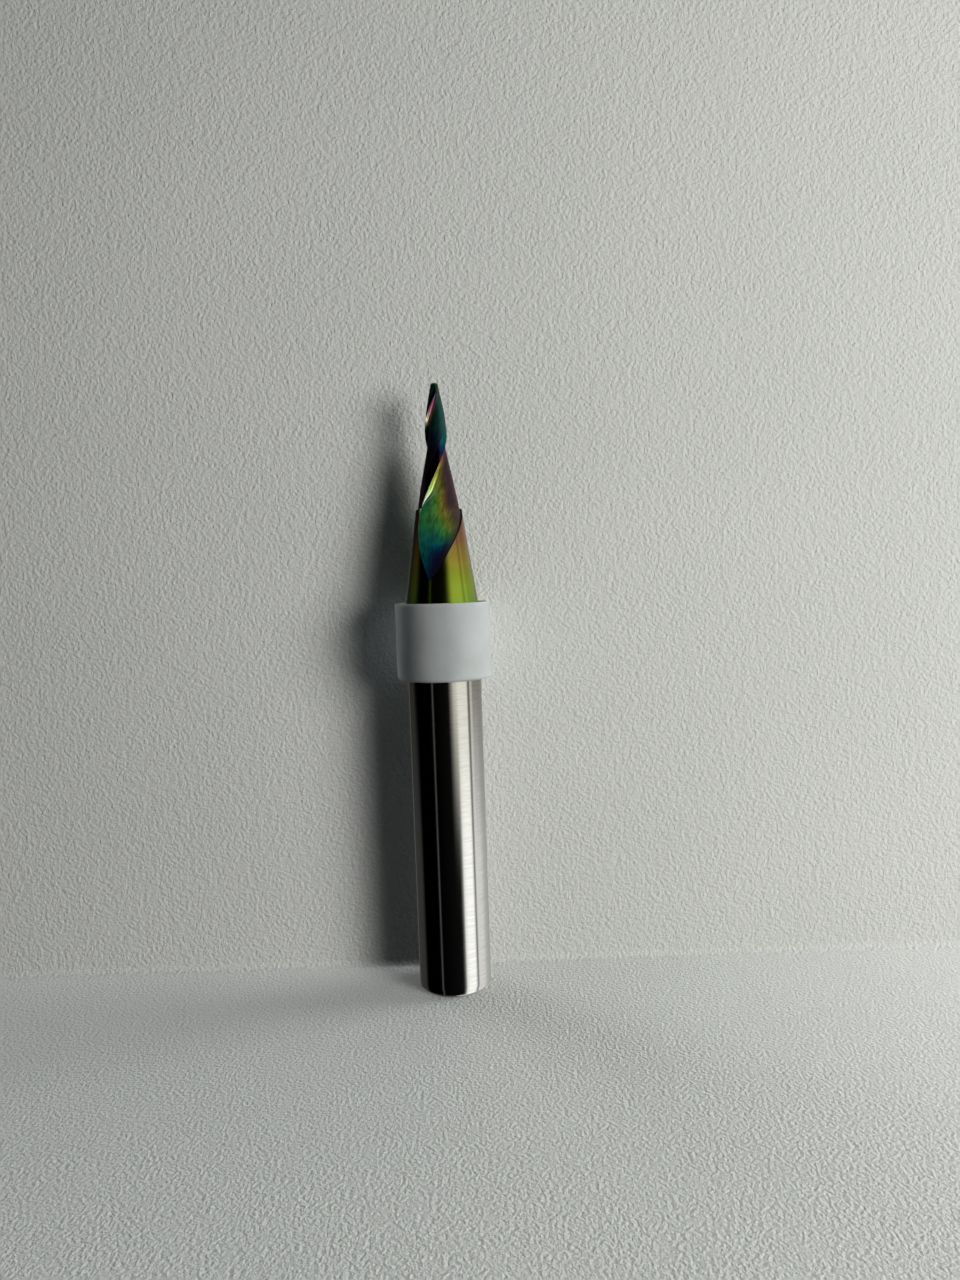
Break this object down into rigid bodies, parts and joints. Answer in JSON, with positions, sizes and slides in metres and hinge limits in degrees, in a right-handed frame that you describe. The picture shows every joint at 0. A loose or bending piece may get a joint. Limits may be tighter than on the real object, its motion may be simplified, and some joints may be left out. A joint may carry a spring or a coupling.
{
  "type": "tapered ball nose end mill",
  "caption": "Tapered ball nose end mill: a plain round shank, a ground cone, helical flutes up to a small ball tip, and a plastic depth ring pressed on the shank.",
  "frame": {"origin": "centre of the flat end face of the shank", "axes": "+Z along the tool's axis from the shank to the ball tip; -Y is the side that the picture shows"},
  "size_m": [0.0078, 0.0078, 0.05],
  "materials": {
    "carbide": "polished grey shank, with a coating in green, gold, teal and violet on the ground nose",
    "ring_plastic": "milky, slightly translucent white plastic with a satin surface"
  },
  "bodies": {
    "root": {"end_mill": "carbide", "depth_ring": "ring_plastic"}
  },
  "joints": []
}
